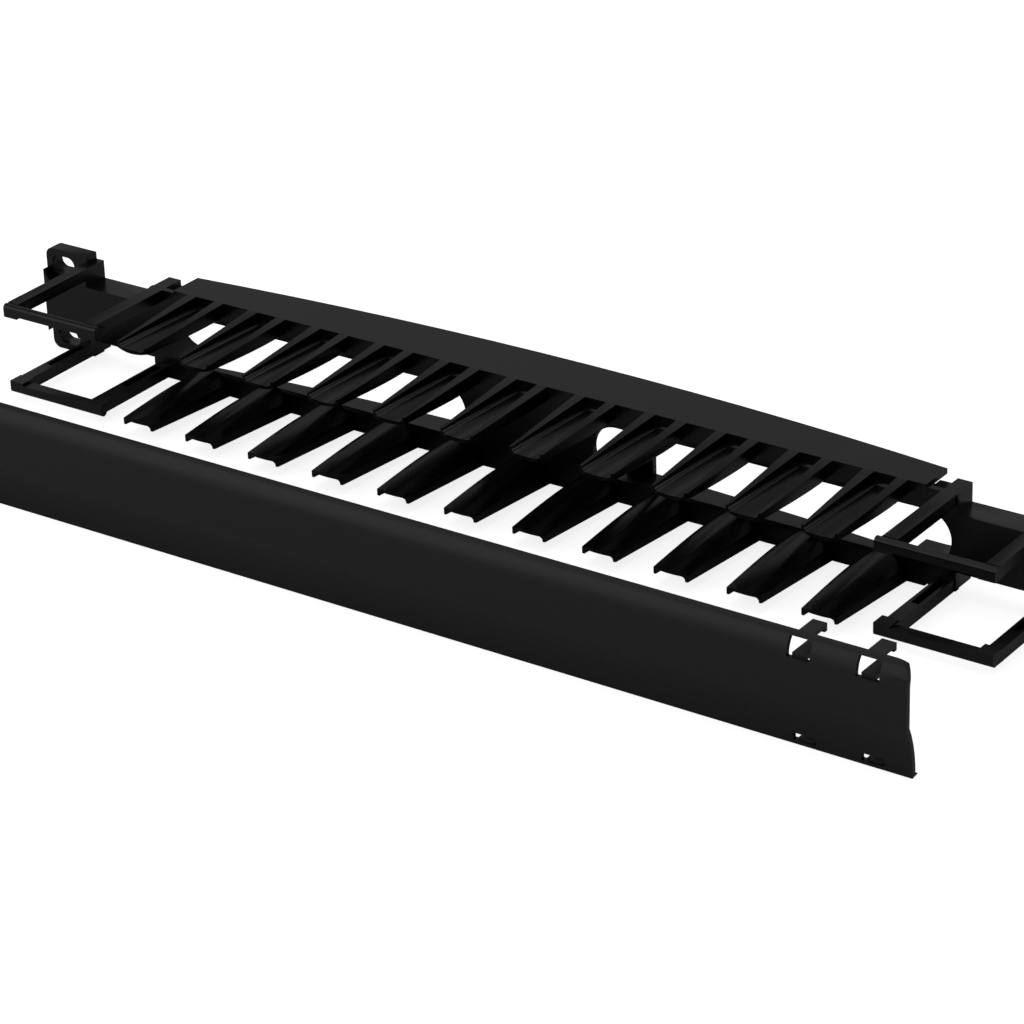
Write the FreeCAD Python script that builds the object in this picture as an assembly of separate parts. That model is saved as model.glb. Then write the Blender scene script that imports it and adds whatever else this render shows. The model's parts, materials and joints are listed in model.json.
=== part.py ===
"""Horizontal cable manager, one rack unit, for a 19-inch rack: a finger tray and its clip-on cover.

Millimetres, +Z up, +X to the right, -Y to the front. The origin lies in the mounting plane
(the rear faces of the rack ears), half way between the ears and at mid-height.
"""
import math
import os

import FreeCAD
import Part

# ---- rack interface ----
SLOT_SPAN = 465.1         # between the slot centres, left to right
SLOT_PITCH = 31.75        # between the slot centres, top to bottom
SLOT_LENGTH = 11.6
SLOT_WIDTH = 6.8
WASHER_RADIUS = 8.2       # bare ring around each slot for the screw head
EAR_MARGIN = 8.75         # from the slot centres to the ear's outer edge
EAR_WIDTH = 20.1
EAR_HEIGHT = 44.0
EAR_THICKNESS = 6.2
EAR_CORNER_RADIUS = 3.5
EAR_EDGE = SLOT_SPAN / 2 + EAR_MARGIN
PAD_DEPTH = 3.6           # the pad between the slots stands this far proud of the ear
PAD_HEIGHT = 27.0
PAD_INSET = 0.8

# ---- end frames ----
FRAME_WIDTH = 47.0
FRAME_FRONT = -55.5
FRAME_HEIGHT = 38.0       # over the outer faces of the top and bottom arms
INNER_ARM_INSET = 1.8     # from the inner end of the hinge bar to the inner arm
INNER_ARM_WIDTH = 6.0
OUTER_ARM_WIDTH = 5.2
ARM_NOTCH = 0.4           # the arms start this far ahead of the bar's rear face
ARM_DEPTH = 4.8
ARM_WALL = 1.4            # beside the groove in the inner face of an arm
GROOVE_DEPTH = 3.2
GROOVE_FRONT = -35.0
GROOVE_BACK = -14.0
BLOCK_WIDTH = 6.6
BLOCK_DEPTH = 5.2
BLOCK_REACH = 6.4
BLOCK_DROP = 1.7          # from the crown of the bar to the top of the block
HINGE_BAR_WIDTH = 3.4
HINGE_BAR_DEPTH = 4.2
LEDGE_BACK = 1.3          # thin ledge behind the hinge bar
LEDGE_DEPTH = 1.2
SHELF_HEIGHT = 22.8       # over the shelves between the arms
SHELF_FRONT = -12.0
SHELF_THICKNESS = 2.2
LINK_DROP = 2.4           # from the top of an arm to the top of its link with the plate
END_WALL_FRONT = -12.0
END_WALL_THICKNESS = 2.5
FRAME_OUTER = EAR_EDGE - EAR_WIDTH
FRAME_INNER = FRAME_OUTER - FRAME_WIDTH

# ---- tray body ----
BODY_HEIGHT = 40.0        # over the top and bottom plates
PLATE_THICKNESS = 2.1
PLATE_GAP = 4.2           # from the plates' ends to the end frames
PLATE_HALF_LENGTH = FRAME_INNER - PLATE_GAP
WEB_FRONT = -12.0         # front face of the web that carries the fingers
WEB_THICKNESS = 2.4
BACK_END = 3.3            # rear edge of the plates at their ends
BACK_BOW = 9.6            # the rear edge bows back by this at the middle
POST_START = 29.0
POST_WIDTH = 12.0
POST_THICKNESS = 2.4
WINDOW_START = 29.0       # inner end of each pass-through window
WINDOW_REACH = 6.3        # its outer end lies this far past the inner side of the end frame
WINDOW_HEIGHT = 20.8
COLLAR_DEPTH = 16.0
COLLAR_WALL = 2.0
COLLAR_LENGTH = 21.0
WINDOW_END = FRAME_INNER + WINDOW_REACH

# ---- fingers ----
FINGER_COUNT = 11
LAST_FINGER_GAP = 20.45   # from the centre of the last finger to the end frame
FINGER_LENGTH = 45.4      # to the corners of the tip
TIP_BULGE = 0.8           # the tip's front edge bows out by this
ROOT_WIDTH = 18.1
ROOT_DEPTH = 9.7
ROOT_ROUND = 10.2         # radius of the underside at the root, square to its slope
ROOT_POCKET_WIDTH = 9.2
ROOT_POCKET_DEPTH = 5.0
TIP_WIDTH = 14.6
TIP_DEPTH = 3.6
TIP_ROUND = 25.5
TIP_POCKET_WIDTH = 12.4
TIP_POCKET_DEPTH = 2.0
TIP_DROP = 2.4            # the tip's rim lies this far inside the plate's face
POCKET_ROUND = 1.6        # between the pocket's floor and its walls

# ---- cover ----
COVER_OVERHANG = 4.8      # past the outer side of the end frames
COVER_REACH = 2.6         # past the top and bottom of the end frames
COVER_WALL = 1.9
BEND_RISE = 8.6           # height of the top bend
BEND_BACK = 4.2           # it ends this far behind the face
CREASE_DROP = 2.0         # the lower part falls back from this far below mid-height
SETBACK_MIDDLE = 2.8
SETBACK_MIDDLE_DROP = 9.5
SETBACK = 4.3
LIP_BACK = 3.6
LIP_EDGE = 0.5
COVER_CORNER_RADIUS = 6.5
CLIP_SPACING = 26.1       # between the two clips at each end
CLIP_WIDTH = 5.5
CLIP_WALL = 1.65
CLIP_GRIP = 1.0           # the lip reaches this far past the top of the bar
CLIP_CLEARANCE = 0.25
ARM_CLEARANCE = 0.3       # from the inner arm to the clip beside it
CLIP_WINDOW_WIDTH = 8.8
TOP_WINDOW_ABOVE = 0.8    # the windows reach this far above and below the outer face of the bar
TOP_WINDOW_BELOW = 6.1
BOTTOM_WINDOW_ABOVE = 1.5
BOTTOM_WINDOW_BELOW = 1.4
FINGER_CLEARANCE = 0.3
COVER_LENGTH = 2 * (FRAME_OUTER + COVER_OVERHANG)
COVER_HEIGHT = FRAME_HEIGHT + 2 * COVER_REACH

# ---- where the cover lies, off the tray ----
COVER_SHIFT = 6.3
COVER_DROP = 0.4
COVER_FACE = -134.0

V = FreeCAD.Vector


def box(x0, x1, y0, y1, z0, z1):
    return Part.makeBox(x1 - x0, y1 - y0, z1 - z0, V(x0, y0, z0))


def both_ends(shape):
    return shape.fuse(shape.mirror(V(0, 0, 0), V(1, 0, 0)))


def top_and_bottom(shape):
    return shape.fuse(shape.mirror(V(0, 0, 0), V(0, 0, 1)))


# ---- the tray's middle: web, plates, posts and collars ----
def back_edge(x):
    """Y of the plates' bowed rear edge at the given X."""
    radius = (PLATE_HALF_LENGTH ** 2 + BACK_BOW ** 2) / (2 * BACK_BOW)
    return BACK_END + BACK_BOW - radius + math.sqrt(radius ** 2 - x ** 2)


def plate():
    """Top plate: straight at the web, bowed along its rear edge."""
    half = PLATE_HALF_LENGTH
    corners = [V(-half, BACK_END, 0), V(-half, WEB_FRONT, 0), V(half, WEB_FRONT, 0), V(half, BACK_END, 0)]
    edges = [Part.makeLine(a, b) for a, b in zip(corners, corners[1:])]
    edges.append(Part.Arc(corners[-1], V(0, BACK_END + BACK_BOW, 0), corners[0]).toShape())
    outline = Part.Face(Part.Wire(edges))
    slab = outline.extrude(V(0, 0, PLATE_THICKNESS))
    slab.translate(V(0, 0, BODY_HEIGHT / 2 - PLATE_THICKNESS))
    return slab


def stadium(x0, x1, height, y0, y1):
    """A slot with full-round ends, lying along X and running through from y0 to y1."""
    radius = height / 2
    middle = box(x0 + radius, x1 - radius, y0, y1, -radius, radius)
    for x in (x0 + radius, x1 - radius):
        middle = middle.fuse(Part.makeCylinder(radius, y1 - y0, V(x, y0, 0), V(0, 1, 0)))
    return middle


def window():
    margin = 1.0
    return stadium(WINDOW_START, WINDOW_END, WINDOW_HEIGHT, WEB_FRONT - margin, WEB_FRONT + WEB_THICKNESS + margin)


def web():
    half = WINDOW_END + COLLAR_WALL
    back = WEB_FRONT + WEB_THICKNESS
    middle = box(-PLATE_HALF_LENGTH, PLATE_HALF_LENGTH, WEB_FRONT, back, -BODY_HEIGHT / 2, BODY_HEIGHT / 2)
    sheet = middle.fuse(box(-half, half, WEB_FRONT, back, -FRAME_HEIGHT / 2, FRAME_HEIGHT / 2))
    return sheet.cut(both_ends(window()))


def collar():
    """Half-round tunnel behind the outer end of a window."""
    outer = stadium(WINDOW_START, WINDOW_END + COLLAR_WALL, WINDOW_HEIGHT + 2 * COLLAR_WALL,
                    WEB_FRONT, WEB_FRONT + COLLAR_DEPTH)
    inner = stadium(WINDOW_START, WINDOW_END, WINDOW_HEIGHT, WEB_FRONT, WEB_FRONT + COLLAR_DEPTH)
    wall = outer.cut(inner)
    end = WINDOW_END + COLLAR_WALL
    keep = box(end - COLLAR_LENGTH, end, WEB_FRONT, WEB_FRONT + COLLAR_DEPTH, -BODY_HEIGHT / 2, BODY_HEIGHT / 2)
    return wall.common(keep)


def post():
    """Rear post that ties the top plate to the bottom plate beside the middle panel."""
    back = back_edge(POST_START + POST_WIDTH)
    half = BODY_HEIGHT / 2 - PLATE_THICKNESS / 2
    return box(POST_START, POST_START + POST_WIDTH, back - POST_THICKNESS, back, -half, half)


# ---- fingers ----
def tapered_block(start, end, width, depth, rise):
    """Block between two shares of the finger's length, measured from the root, with a flat bottom.

    The width and the depth below the sloping rim run evenly from the root's value to the tip's.
    """
    def at(pair, share):
        return pair[0] + (pair[1] - pair[0]) * share

    rim = (BODY_HEIGHT / 2, BODY_HEIGHT / 2 - TIP_DROP)
    half_back = at(width, start) / 2
    half_front = at(width, end) / 2
    floor_back = at(rim, start) - at(depth, start)
    floor_front = at(rim, end) - at(depth, end)
    return Part.makeWedge(-half_front, WEB_FRONT - FINGER_LENGTH * end, floor_front, floor_back, -half_back,
                          half_front, WEB_FRONT - FINGER_LENGTH * start, at(rim, end) + rise, at(rim, start) + rise,
                          half_back)


def underside():
    """Cone that rounds the finger's underside: tight at the root, almost flat at the tip."""
    root = V(0, WEB_FRONT, BODY_HEIGHT / 2 - ROOT_DEPTH)
    tip = V(0, WEB_FRONT - FINGER_LENGTH, BODY_HEIGHT / 2 - TIP_DROP - TIP_DEPTH)
    keel = tip - root
    flare = math.asin((TIP_ROUND - ROOT_ROUND) / keel.Length)
    tilt = math.atan2(keel.z, -keel.y) + flare
    axis = V(0, -math.cos(tilt), math.sin(tilt))
    up = V(0, math.sin(tilt), math.cos(tilt))
    length = keel.Length * math.cos(flare)
    spare = 0.5
    growth = (TIP_ROUND - ROOT_ROUND) * spare
    return Part.makeCone(ROOT_ROUND - growth, TIP_ROUND + growth, length * (1 + 2 * spare),
                         root + up * ROOT_ROUND - axis * (length * spare), axis)


def pocket():
    """The hollow of a finger: flat floor, rounded where it meets the side walls and the web."""
    past_tip = 1.1
    hollow = tapered_block(0, past_tip, (ROOT_POCKET_WIDTH, TIP_POCKET_WIDTH),
                           (ROOT_POCKET_DEPTH, TIP_POCKET_DEPTH), 1.0)
    floor = min(hollow.Faces, key=lambda face: face.CenterOfMass.z)
    front = hollow.BoundBox.YMin
    corners = [edge for edge in floor.Edges if edge.BoundBox.YMax > front + 0.01]
    return hollow.makeFillet(POCKET_ROUND, corners)


def finger():
    """Top-row finger at X = 0: a tapering trough, open upwards, with a bowed tip."""
    past_tip = 1.1
    body = tapered_block(0, past_tip, (ROOT_WIDTH, TIP_WIDTH), (ROOT_DEPTH, ROOT_DEPTH), 0).common(underside())
    half = TIP_WIDTH / 2
    nose_radius = (half ** 2 + TIP_BULGE ** 2) / (2 * TIP_BULGE)
    corner = WEB_FRONT - FINGER_LENGTH
    nose = Part.makeCylinder(nose_radius, BODY_HEIGHT, V(0, corner - TIP_BULGE + nose_radius, -BODY_HEIGHT / 2))
    trim = box(-ROOT_WIDTH, ROOT_WIDTH, corner - past_tip * FINGER_LENGTH, corner, -BODY_HEIGHT, BODY_HEIGHT)
    return body.cut(pocket()).cut(trim.cut(nose))


def finger_row():
    one = finger()
    last = FRAME_INNER - LAST_FINGER_GAP
    pitch = 2 * last / (FINGER_COUNT - 1)
    row = []
    for index in range(FINGER_COUNT):
        copy = one.copy()
        copy.translate(V(index * pitch - last, 0, 0))
        row.append(copy)
    return row


# ---- end frames ----
def arm(x0, x1):
    """Arm of an end frame, with a groove in its inner face along the rear half."""
    top = FRAME_HEIGHT / 2
    bottom = top - ARM_DEPTH
    groove = box(x0 + ARM_WALL, x1 - ARM_WALL, GROOVE_FRONT, GROOVE_BACK, bottom - 1, bottom + GROOVE_DEPTH)
    front = FRAME_FRONT + HINGE_BAR_WIDTH - ARM_NOTCH
    return box(x0, x1, front, 0, bottom, top).cut(groove)


def hinge_bar():
    """Round-topped bar across the arms' ends, which the cover's clips grip, with a thin ledge behind it."""
    top = FRAME_HEIGHT / 2
    bottom = top - HINGE_BAR_DEPTH
    back = FRAME_FRONT + HINGE_BAR_WIDTH
    x0 = FRAME_INNER
    x1 = FRAME_OUTER
    bar = box(x0, x1, FRAME_FRONT, back, bottom, top)
    crown = [e for e in bar.Edges if e.BoundBox.ZMin > top - 0.01 and e.BoundBox.XLength > x1 - x0 - 0.1]
    bar = bar.makeFillet(HINGE_BAR_WIDTH / 2 - 0.1, crown)
    ledge = box(x0, x1, back - 0.2, back + LEDGE_BACK, bottom, bottom + LEDGE_DEPTH)
    return bar.fuse(ledge)


def end_block(x0):
    top = FRAME_HEIGHT / 2
    return box(x0, x0 + BLOCK_WIDTH, FRAME_FRONT, FRAME_FRONT + BLOCK_REACH, top - BLOCK_DEPTH, top - BLOCK_DROP)


def frame_top():
    """Upper half of the right end frame: two arms, the hinge bar between its blocks, and the shelf."""
    shelf_top = SHELF_HEIGHT / 2
    shelf_bottom = shelf_top - SHELF_THICKNESS
    arm_top = FRAME_HEIGHT / 2
    inner_start = FRAME_INNER + INNER_ARM_INSET
    inner_end = inner_start + INNER_ARM_WIDTH
    outer_start = FRAME_OUTER - OUTER_ARM_WIDTH
    cheeks = [box(inner_start, inner_end, WEB_FRONT, 0, shelf_bottom, arm_top),
              box(outer_start, FRAME_OUTER, WEB_FRONT, 0, shelf_bottom, arm_top)]
    shelf = box(inner_start, FRAME_OUTER, SHELF_FRONT, 0, shelf_bottom, shelf_top)
    link = box(PLATE_HALF_LENGTH - 1, inner_start + 1, WEB_FRONT, 0, arm_top - ARM_DEPTH, arm_top - LINK_DROP)
    parts = [arm(outer_start, FRAME_OUTER), end_block(FRAME_INNER), end_block(FRAME_OUTER - BLOCK_WIDTH), hinge_bar()]
    return arm(inner_start, inner_end).multiFuse(parts + cheeks + [shelf, link])


def end_wall():
    half = SHELF_HEIGHT / 2 - SHELF_THICKNESS / 2
    x0 = WINDOW_END
    front = box(x0 + COLLAR_WALL / 2, FRAME_OUTER, END_WALL_FRONT, END_WALL_FRONT + END_WALL_THICKNESS, -half, half)
    inner = box(x0, x0 + COLLAR_WALL, END_WALL_FRONT, 0, -half, half)
    outer = box(FRAME_OUTER - END_WALL_THICKNESS, FRAME_OUTER, END_WALL_FRONT, 0, -half, half)
    return front.multiFuse([inner, outer])


# ---- ears ----
def rack_slot(z):
    half = SLOT_LENGTH / 2 - SLOT_WIDTH / 2
    x = SLOT_SPAN / 2
    depth = EAR_THICKNESS + PAD_DEPTH + 2
    middle = box(x - half, x + half, -depth, 1, z - SLOT_WIDTH / 2, z + SLOT_WIDTH / 2)
    ends = [Part.makeCylinder(SLOT_WIDTH / 2, depth + 1, V(e, -depth, z), V(0, 1, 0)) for e in (x - half, x + half)]
    return middle.multiFuse(ends)


def ear():
    """Right rack ear: a thick plate with two slots, a proud pad between them and a rib beside the frame."""
    half = EAR_HEIGHT / 2
    edge = EAR_EDGE
    body = box(FRAME_OUTER - 1.5, edge, -EAR_THICKNESS, 0, -half, half)
    corners = [e for e in body.Edges if e.BoundBox.XMin > edge - 0.01 and e.BoundBox.YLength > EAR_THICKNESS - 0.1]
    body = body.makeFillet(EAR_CORNER_RADIUS, corners)
    pad = box(FRAME_OUTER - 1.5, edge - PAD_INSET, -EAR_THICKNESS - PAD_DEPTH, -EAR_THICKNESS + 0.5,
              -PAD_HEIGHT / 2, PAD_HEIGHT / 2)
    for z in (-SLOT_PITCH / 2, SLOT_PITCH / 2):
        washer = Part.makeCylinder(WASHER_RADIUS, PAD_DEPTH + 1, V(SLOT_SPAN / 2, -EAR_THICKNESS - PAD_DEPTH - 1, z),
                                   V(0, 1, 0))
        pad = pad.cut(washer)
    body = body.fuse(pad)
    for z in (-SLOT_PITCH / 2, SLOT_PITCH / 2):
        body = body.cut(rack_slot(z))
    return body


def finger_tray():
    upper = plate().multiFuse(finger_row())
    lower = upper.mirror(V(0, 0, 0), V(0, 0, 1))
    middle = upper.multiFuse([lower, web(), both_ends(post())])
    ends = collar().multiFuse([top_and_bottom(frame_top()), end_wall(), ear()])
    return middle.fuse(both_ends(ends))


# ---- cover ----
def circle_through(a, b, c):
    circle = Part.Circle(V(a[0], a[1], 0), V(b[0], b[1], 0), V(c[0], c[1], 0))
    return circle.Center, circle.Radius


def cover_outline(depth):
    """The face's line at a depth behind its surface, from the top edge to the bottom edge: (back, up) pairs."""
    half = COVER_HEIGHT / 2
    bend_start = half - BEND_RISE
    bend_radius = (BEND_BACK ** 2 + BEND_RISE ** 2) / (2 * BEND_BACK)
    angle = math.asin(BEND_RISE / bend_radius)
    inner = bend_radius - depth

    def on_bend(turn):
        return V(0, bend_radius - inner * math.cos(turn), bend_start + inner * math.sin(turn))

    centre, radius = setback_circle()
    outer = radius + depth

    def on_setback(z):
        return V(0, centre.x + math.sqrt(outer ** 2 - (z - centre.y) ** 2), z)

    crease_z = centre.y + math.sqrt(outer ** 2 - (depth - centre.x) ** 2)
    top_arc = Part.Arc(on_bend(angle), on_bend(angle / 2), on_bend(0)).toShape()
    flat = Part.makeLine(on_bend(0), V(0, depth, crease_z))
    low = -half + depth * 0.4
    lower = Part.Arc(V(0, depth, crease_z), on_setback((crease_z + low) / 2), on_setback(low)).toShape()
    return [top_arc, flat, lower]


def cover_section():
    """Closed section of the cover: the bent face and the short lip along its bottom edge."""
    face = cover_outline(0)
    back = cover_outline(COVER_WALL)
    tip = V(0, SETBACK + LIP_BACK, -COVER_HEIGHT / 2 + LIP_EDGE)
    bottom = face[-1].Vertexes[-1].Point
    root = back[-1].Vertexes[-1].Point
    ends = [Part.makeLine(bottom, tip), Part.makeLine(tip, root),
            Part.makeLine(back[0].Vertexes[0].Point, face[0].Vertexes[0].Point)]
    return Part.Face(Part.Wire(Part.__sortEdges__(face + back + ends)))


def grip_clip(x, arm_front, jaw_front):
    """Clip of the top edge: an arm with a lip over the bar and a jaw under it, both rooted in the cover's wall."""
    bar_top = FRAME_HEIGHT / 2
    arm_under = bar_top + CLIP_CLEARANCE
    jaw_top = bar_top - HINGE_BAR_DEPTH - CLIP_CLEARANCE
    lip_front = FRAME_FRONT + HINGE_BAR_WIDTH + CLIP_CLEARANCE - fitted_face()
    lip_back = lip_front + CLIP_WALL
    x0 = x - CLIP_WIDTH / 2
    x1 = x + CLIP_WIDTH / 2
    upper = box(x0, x1, arm_front, lip_back, arm_under, arm_under + CLIP_WALL)
    lip = box(x0, x1, lip_front, lip_back, bar_top - CLIP_GRIP, arm_under + CLIP_WALL)
    jaw = box(x0, x1, jaw_front, lip_back, jaw_top - CLIP_WALL, jaw_top)
    return upper.multiFuse([lip, jaw])


def setback_circle():
    return circle_through((0, -CREASE_DROP), (SETBACK_MIDDLE, -SETBACK_MIDDLE_DROP), (SETBACK, -COVER_HEIGHT / 2))


def fitted_face():
    """Y of the cover's face when it is clipped on: its inside just clears the lower finger tips."""
    tip_front = WEB_FRONT - FINGER_LENGTH - TIP_BULGE
    tip_floor = -(BODY_HEIGHT / 2 - TIP_DROP - TIP_POCKET_DEPTH)
    centre, radius = setback_circle()
    inside = centre.x + math.sqrt((radius + COVER_WALL) ** 2 - (tip_floor - centre.y) ** 2)
    return tip_front - FINGER_CLEARANCE - inside


def clip_places():
    inner = FRAME_INNER + INNER_ARM_INSET + INNER_ARM_WIDTH + ARM_CLEARANCE + CLIP_WIDTH / 2
    return [inner, inner + CLIP_SPACING]


def corner_trims():
    """Pieces that round the two upper corners of the strip, seen from the front."""
    half = COVER_LENGTH / 2
    top = COVER_HEIGHT / 2
    radius = COVER_CORNER_RADIUS
    corner = box(half - radius, half + 1, -1, 2 * BEND_BACK, top - radius, top + 1)
    corner = corner.cut(Part.makeCylinder(radius, 2 * BEND_BACK + 1, V(half - radius, -1, top - radius), V(0, 1, 0)))
    return both_ends(corner)


def cover():
    """The cover in its own place: the face's front at Y = 0, centred in X and Z."""
    strip = cover_section().extrude(V(COVER_LENGTH, 0, 0))
    strip.translate(V(-COVER_LENGTH / 2, 0, 0))
    strip = strip.cut(corner_trims())
    bar_top = FRAME_HEIGHT / 2
    for x in clip_places():
        x0 = x - CLIP_WINDOW_WIDTH / 2
        x1 = x + CLIP_WINDOW_WIDTH / 2
        upper = box(x0, x1, -1, 2 * BEND_BACK, bar_top - TOP_WINDOW_BELOW, bar_top + TOP_WINDOW_ABOVE)
        lower = box(x0, x1, -1, SETBACK + COVER_WALL + 1, -bar_top - BOTTOM_WINDOW_BELOW, BOTTOM_WINDOW_ABOVE - bar_top)
        strip = strip.cut(both_ends(upper.fuse(lower)))
        top_clip = grip_clip(x, BEND_BACK, COVER_WALL / 2)
        bottom_clip = grip_clip(x, SETBACK + COVER_WALL / 2, SETBACK_MIDDLE + 0.9 * COVER_WALL)
        bottom_clip = bottom_clip.mirror(V(0, 0, 0), V(0, 0, 1))
        strip = strip.fuse(both_ends(top_clip.fuse(bottom_clip)))
    return strip.removeSplitter()


def lay_out(shape):
    """Move the cover from its own place to where it lies in front of the tray."""
    shape.translate(V(COVER_SHIFT, COVER_FACE, -COVER_DROP))
    return shape


nodes = {"finger_tray": finger_tray(), "cover": lay_out(cover())}
os.makedirs("parts", exist_ok=True)
for name, shape in nodes.items():
    shape.exportStep("parts/" + name + ".step")
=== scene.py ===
import json
import math
import bpy
from mathutils import Matrix, Vector

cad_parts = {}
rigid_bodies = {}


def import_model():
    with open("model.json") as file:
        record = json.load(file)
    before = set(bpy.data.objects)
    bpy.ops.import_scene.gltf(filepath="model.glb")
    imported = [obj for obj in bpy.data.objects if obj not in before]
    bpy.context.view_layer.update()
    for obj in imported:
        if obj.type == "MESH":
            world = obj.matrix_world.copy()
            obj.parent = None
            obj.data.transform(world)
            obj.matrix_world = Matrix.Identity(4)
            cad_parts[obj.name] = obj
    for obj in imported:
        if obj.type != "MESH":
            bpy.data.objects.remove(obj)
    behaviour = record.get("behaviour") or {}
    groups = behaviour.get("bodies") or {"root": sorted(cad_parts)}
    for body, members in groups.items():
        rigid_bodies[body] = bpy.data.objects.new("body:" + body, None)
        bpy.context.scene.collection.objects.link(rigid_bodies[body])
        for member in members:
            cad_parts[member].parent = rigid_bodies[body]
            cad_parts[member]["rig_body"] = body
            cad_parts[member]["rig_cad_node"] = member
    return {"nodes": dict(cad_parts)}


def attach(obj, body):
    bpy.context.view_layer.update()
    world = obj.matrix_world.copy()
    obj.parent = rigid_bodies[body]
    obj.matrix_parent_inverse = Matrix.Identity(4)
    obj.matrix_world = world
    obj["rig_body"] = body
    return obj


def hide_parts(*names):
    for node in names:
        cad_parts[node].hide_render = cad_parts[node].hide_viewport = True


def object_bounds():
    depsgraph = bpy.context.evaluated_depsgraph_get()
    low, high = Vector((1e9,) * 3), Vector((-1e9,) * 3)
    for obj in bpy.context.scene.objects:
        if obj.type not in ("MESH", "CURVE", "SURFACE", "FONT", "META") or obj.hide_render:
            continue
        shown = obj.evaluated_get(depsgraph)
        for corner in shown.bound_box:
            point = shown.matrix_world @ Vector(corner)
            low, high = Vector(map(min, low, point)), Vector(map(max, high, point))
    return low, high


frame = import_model()
cad_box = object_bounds()
scene = bpy.context.scene
scene.view_settings.view_transform = "Standard"

# ---- camera ----
# A long lens, in front of the rack's right side and above it, rolled slightly. The tray's right
# end and the cover's left end run out of the view.
bpy.ops.object.select_all(action="DESELECT")
view_aim = Vector((0.025531, -0.060, -0.007344))
view_distance = 1.44483
view_azimuth = math.radians(35.7588)
view_elevation = math.radians(26.1726)
view_roll = math.radians(2.0412)
turn = (Matrix.Rotation(view_azimuth, 4, "Z")
        @ Matrix.Rotation(math.pi / 2 - view_elevation, 4, "X")
        @ Matrix.Rotation(-view_roll, 4, "Z"))
bpy.ops.object.camera_add()
camera = bpy.context.object
camera.matrix_world = Matrix.Translation(view_aim) @ turn @ Matrix.Translation((0, 0, view_distance))
camera.data.sensor_width = 36.0
camera.data.lens = 139.728
scene.camera = camera

# ---- floor ----
# A plain pale sheet under the tray and the cover, white where it is seen directly and grey in
# the plastic's reflections. It takes the soft shadow of both pieces.
floor_gap = 0.0002
floor_height = cad_box[0][2] - floor_gap
bpy.ops.mesh.primitive_plane_add(size=8.0, location=(0, 0, floor_height))
floor = bpy.context.object
floor.name = "floor"
floor_paint = bpy.data.materials.new("pale_floor")
floor_paint.use_nodes = True
nodes = floor_paint.node_tree.nodes
links = floor_paint.node_tree.links
nodes.clear()
rays = nodes.new("ShaderNodeLightPath")
seen = nodes.new("ShaderNodeBsdfDiffuse")
seen.inputs["Color"].default_value = (0.9, 0.9, 0.9, 1)
glow = nodes.new("ShaderNodeEmission")
glow.inputs["Strength"].default_value = 0.84
bright = nodes.new("ShaderNodeAddShader")
links.new(seen.outputs["BSDF"], bright.inputs[0])
links.new(glow.outputs["Emission"], bright.inputs[1])
bounce = nodes.new("ShaderNodeBsdfDiffuse")
bounce.inputs["Color"].default_value = (0.7, 0.7, 0.7, 1)
choice = nodes.new("ShaderNodeMixShader")
links.new(rays.outputs["Is Camera Ray"], choice.inputs["Fac"])
links.new(bounce.outputs["BSDF"], choice.inputs[1])
links.new(bright.outputs["Shader"], choice.inputs[2])
output = nodes.new("ShaderNodeOutputMaterial")
links.new(choice.outputs["Shader"], output.inputs["Surface"])
floor.data.materials.append(floor_paint)

# ---- finger tray ----
# One black injection moulding: plates, web, fingers, end frames and rack ears. Its edges carry
# the mould's small radius. The plates and the floors of the fingers' pockets are satin. The
# fingers' sides and undersides carry painted shade: a darker colour and weaker reflections.
bpy.ops.object.select_all(action="DESELECT")
tray = frame["nodes"]["finger_tray"].copy()
tray.data = frame["nodes"]["finger_tray"].data.copy()
tray.name = "finger_tray_moulding"
scene.collection.objects.link(tray)
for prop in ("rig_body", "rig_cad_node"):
    if prop in tray:
        del tray[prop]
tray.parent = None
bpy.context.view_layer.objects.active = tray
tray.select_set(True)
bpy.ops.object.mode_set(mode="EDIT")
bpy.ops.mesh.select_all(action="SELECT")
bpy.ops.mesh.remove_doubles(threshold=0.00001)
bpy.ops.mesh.dissolve_limited(angle_limit=math.radians(0.5))
bpy.ops.object.mode_set(mode="OBJECT")
bpy.ops.object.shade_smooth_by_angle(angle=math.radians(30))
rounding = tray.modifiers.new("mould_radius", "BEVEL")
rounding.width = 0.0005
rounding.segments = 2
rounding.limit_method = "ANGLE"
rounding.angle_limit = math.radians(38)
rounding.harden_normals = True
bpy.ops.object.modifier_apply(modifier=rounding.name)

satin = bpy.data.materials.new("tray_satin")
satin.use_nodes = True
nodes = satin.node_tree.nodes
links = satin.node_tree.links
shader = nodes["Principled BSDF"]
shader.inputs["Base Color"].default_value = (0.003, 0.003, 0.0031, 1)
shader.inputs["IOR"].default_value = 1.46
place = nodes.new("ShaderNodeTexCoord")
grain = nodes.new("ShaderNodeTexNoise")
grain.inputs["Scale"].default_value = 2600
grain.inputs["Detail"].default_value = 3
links.new(place.outputs["Object"], grain.inputs["Vector"])
relief = nodes.new("ShaderNodeBump")
relief.inputs["Strength"].default_value = 0.10
relief.inputs["Distance"].default_value = 0.00005
links.new(grain.outputs["Fac"], relief.inputs["Height"])
links.new(relief.outputs["Normal"], shader.inputs["Normal"])
flow = nodes.new("ShaderNodeTexNoise")
flow.inputs["Scale"].default_value = 28
flow.inputs["Detail"].default_value = 2
links.new(place.outputs["Object"], flow.inputs["Vector"])
spread = nodes.new("ShaderNodeMapRange")
spread.inputs["To Min"].default_value = 0.24
spread.inputs["To Max"].default_value = 0.31
links.new(flow.outputs["Fac"], spread.inputs["Value"])
links.new(spread.outputs["Result"], shader.inputs["Roughness"])

# Painted shade: a darker base colour and a lower IOR darken the fingers' sides and undersides.
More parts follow.
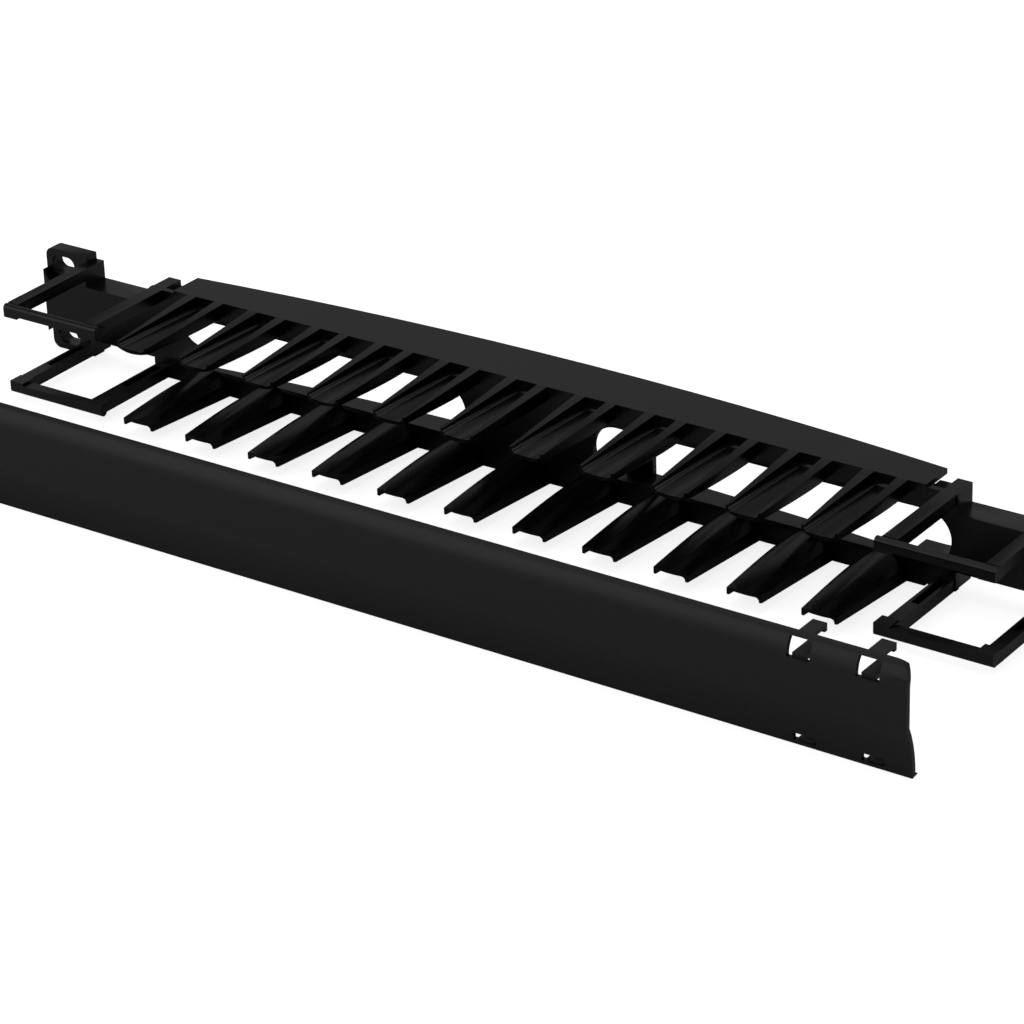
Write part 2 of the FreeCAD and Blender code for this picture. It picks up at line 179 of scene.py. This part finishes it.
painted_shade = bpy.data.materials.new("tray_painted_shade")
painted_shade.use_nodes = True
nodes = painted_shade.node_tree.nodes
links = painted_shade.node_tree.links
shader = nodes["Principled BSDF"]
shader.inputs["Base Color"].default_value = (0.0006, 0.0006, 0.0006, 1)
shader.inputs["IOR"].default_value = 1.28
place = nodes.new("ShaderNodeTexCoord")
ripple = nodes.new("ShaderNodeTexNoise")
ripple.inputs["Scale"].default_value = 90
ripple.inputs["Detail"].default_value = 2
links.new(place.outputs["Object"], ripple.inputs["Vector"])
spread = nodes.new("ShaderNodeMapRange")
spread.inputs["To Min"].default_value = 0.24
spread.inputs["To Max"].default_value = 0.32
links.new(ripple.outputs["Fac"], spread.inputs["Value"])
links.new(spread.outputs["Result"], shader.inputs["Roughness"])

tray.data.materials.clear()
tray.data.materials.append(satin)
tray.data.materials.append(painted_shade)

# The painted shade (darker colour, weaker reflections) covers the sides and undersides of the
# fingers, from just in front of the web and between the end frames: every face there that doesn't
# point away from the middle.
painted_shade_back = -0.0122
painted_shade_side = 0.166
outward_limit = 0.15
for face in tray.data.polygons:
    spot = face.center
    outward = face.normal.z if spot.z > 0 else -face.normal.z
    on_finger = spot.y < painted_shade_back and abs(spot.x) < painted_shade_side
    face.material_index = 1 if on_finger and outward < outward_limit else 0
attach(tray, "tray")
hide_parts("finger_tray")

# ---- cover ----
# A black moulded strip with satin grain, bent back along its top edge. At each end, two clips at
# its top edge and two at its bottom edge grip the tray's hinge bars.
bpy.ops.object.select_all(action="DESELECT")
cover = frame["nodes"]["cover"].copy()
cover.data = frame["nodes"]["cover"].data.copy()
cover.name = "cover_strip"
scene.collection.objects.link(cover)
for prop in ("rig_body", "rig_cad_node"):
    if prop in cover:
        del cover[prop]
cover.parent = None
bpy.context.view_layer.objects.active = cover
cover.select_set(True)
bpy.ops.object.mode_set(mode="EDIT")
bpy.ops.mesh.select_all(action="SELECT")
bpy.ops.mesh.remove_doubles(threshold=0.00001)
bpy.ops.mesh.dissolve_limited(angle_limit=math.radians(0.5))
bpy.ops.object.mode_set(mode="OBJECT")
bpy.ops.object.shade_smooth_by_angle(angle=math.radians(30))
rounding = cover.modifiers.new("edge_radius", "BEVEL")
rounding.width = 0.0003
rounding.segments = 2
rounding.limit_method = "ANGLE"
rounding.angle_limit = math.radians(38)
rounding.harden_normals = True
bpy.ops.object.modifier_apply(modifier=rounding.name)

strip = bpy.data.materials.new("cover_satin")
strip.use_nodes = True
nodes = strip.node_tree.nodes
links = strip.node_tree.links
shader = nodes["Principled BSDF"]
shader.inputs["Base Color"].default_value = (0.0145, 0.0145, 0.0150, 1)
shader.inputs["IOR"].default_value = 1.46
place = nodes.new("ShaderNodeTexCoord")
grain = nodes.new("ShaderNodeTexNoise")
grain.inputs["Scale"].default_value = 1500
grain.inputs["Detail"].default_value = 3
links.new(place.outputs["Object"], grain.inputs["Vector"])
relief = nodes.new("ShaderNodeBump")
relief.inputs["Strength"].default_value = 0.6
relief.inputs["Distance"].default_value = 0.00006
links.new(grain.outputs["Fac"], relief.inputs["Height"])
links.new(relief.outputs["Normal"], shader.inputs["Normal"])
spread = nodes.new("ShaderNodeMapRange")
spread.inputs["To Min"].default_value = 0.36
spread.inputs["To Max"].default_value = 0.48
links.new(grain.outputs["Fac"], spread.inputs["Value"])
links.new(spread.outputs["Result"], shader.inputs["Roughness"])
cover.data.materials.clear()
cover.data.materials.append(strip)
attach(cover, "cover")
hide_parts("cover")

# ---- light ----
# A dim room with four soft boxes: one overhead, a wide dim one low behind the rack's left side,
# a tall one in front of its left side and a small one at the right.
world = bpy.data.worlds.new("studio")
world.use_nodes = True
nodes = world.node_tree.nodes
links = world.node_tree.links
room = nodes["Background"]
room.inputs["Color"].default_value = (1, 1, 1, 1)
room.inputs["Strength"].default_value = 0.15
backdrop = nodes.new("ShaderNodeBackground")
backdrop.inputs["Color"].default_value = (1, 1, 1, 1)
rays = nodes.new("ShaderNodeLightPath")
choice = nodes.new("ShaderNodeMixShader")
links.new(rays.outputs["Is Camera Ray"], choice.inputs["Fac"])
links.new(room.outputs["Background"], choice.inputs[1])
links.new(backdrop.outputs["Background"], choice.inputs[2])
links.new(choice.outputs["Shader"], nodes["World Output"].inputs["Surface"])
scene.world = world

bpy.ops.object.light_add(type="AREA", location=(-0.2, 0.1, 1.7))
overhead = bpy.context.object
overhead.name = "overhead_box"
overhead.data.shape = "RECTANGLE"
overhead.data.size = 1.8
overhead.data.size_y = 1.4
overhead.data.energy = 4

back_place = Vector((-1.1, 1.5, 0.8))
bpy.ops.object.light_add(type="AREA", location=back_place)
back = bpy.context.object
back.name = "back_box"
back.rotation_euler = back_place.to_track_quat("Z", "Y").to_euler()
back.data.shape = "RECTANGLE"
back.data.size = 2.0
back.data.size_y = 1.0
back.data.energy = 0.56

front_place = Vector((-0.95, -1.4, 0.85))
bpy.ops.object.light_add(type="AREA", location=front_place)
front = bpy.context.object
front.name = "front_box"
front.rotation_euler = front_place.to_track_quat("Z", "Y").to_euler()
front.data.shape = "RECTANGLE"
front.data.size = 1.7
front.data.size_y = 1.8
front.data.energy = 6.4

side_place = Vector((1.5, 0.3, 0.5))
bpy.ops.object.light_add(type="AREA", location=side_place)
side = bpy.context.object
side.name = "side_box"
side.rotation_euler = side_place.to_track_quat("Z", "Y").to_euler()
side.data.shape = "RECTANGLE"
side.data.size = 0.8
side.data.size_y = 0.8
side.data.energy = 2
for box in (overhead, back, front, side):
    box.visible_camera = False
